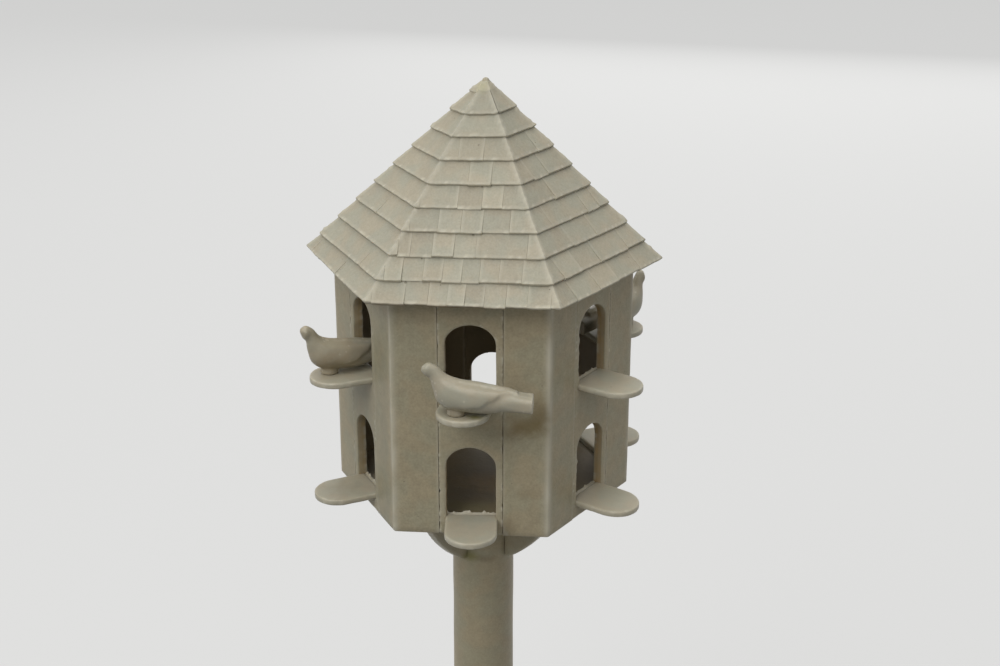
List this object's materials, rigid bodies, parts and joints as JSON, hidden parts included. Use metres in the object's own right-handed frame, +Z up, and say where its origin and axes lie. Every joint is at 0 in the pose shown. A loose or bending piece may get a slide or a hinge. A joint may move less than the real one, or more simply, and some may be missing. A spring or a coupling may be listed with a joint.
{
  "type": "model dovecote on a post",
  "caption": "Cast-resin scale model of a six-sided dovecote: boarded walls with arched nest holes and landing boards, a shingled roof and perched pigeons, on a round post.",
  "frame": {"origin": "middle of the post's flat foot", "axes": "+Z up along the post, -Y out of the front wall, +X to the right seen from the front"},
  "size_m": [0.035, 0.0366, 0.1099],
  "materials": {
    "roof_resin": "unpainted cast resin, semi-matte, shingles with small chips and bubbles",
    "wall_resin": "unpainted cast resin, semi-matte, with brownish glue stains",
    "landing_resin": "unpainted cast resin, semi-matte, with ragged flash at the inner ends",
    "pigeon_resin": "unpainted cast resin, smooth",
    "post_resin": "unpainted cast resin, semi-matte, with a smear of dried glue under the floor"
  },
  "bodies": {
    "root": {"bracket_1": "post_resin", "bracket_2": "post_resin", "bracket_3": "post_resin", "bracket_4": "post_resin", "floor_plate": "wall_resin", "front_hole_board": "wall_resin", "front_left_board": "wall_resin", "front_lower_landing": "landing_resin", "front_pigeon": "pigeon_resin", "front_right_board": "wall_resin", "front_upper_landing": "landing_resin", "left_front_hole_board": "wall_resin", "left_front_left_board": "wall_resin", "left_front_lower_landing": "landing_resin", "left_front_right_board": "wall_resin", "left_front_upper_landing": "landing_resin", "left_pigeon": "pigeon_resin", "left_rear_hole_board": "wall_resin", "left_rear_left_board": "wall_resin", "left_rear_lower_landing": "landing_resin", "left_rear_right_board": "wall_resin", "left_rear_upper_landing": "landing_resin", "post": "post_resin", "rear_hole_board": "wall_resin", "rear_left_board": "wall_resin", "rear_lower_landing": "landing_resin", "rear_pigeon": "pigeon_resin", "rear_right_board": "wall_resin", "rear_upper_landing": "landing_resin", "right_front_hole_board": "wall_resin", "right_front_left_board": "wall_resin", "right_front_lower_landing": "landing_resin", "right_front_right_board": "wall_resin", "right_front_upper_landing": "landing_resin", "right_rear_hole_board": "wall_resin", "right_rear_left_board": "wall_resin", "right_rear_lower_landing": "landing_resin", "right_rear_right_board": "wall_resin", "right_rear_upper_landing": "landing_resin", "roof": "roof_resin"}
  },
  "joints": []
}
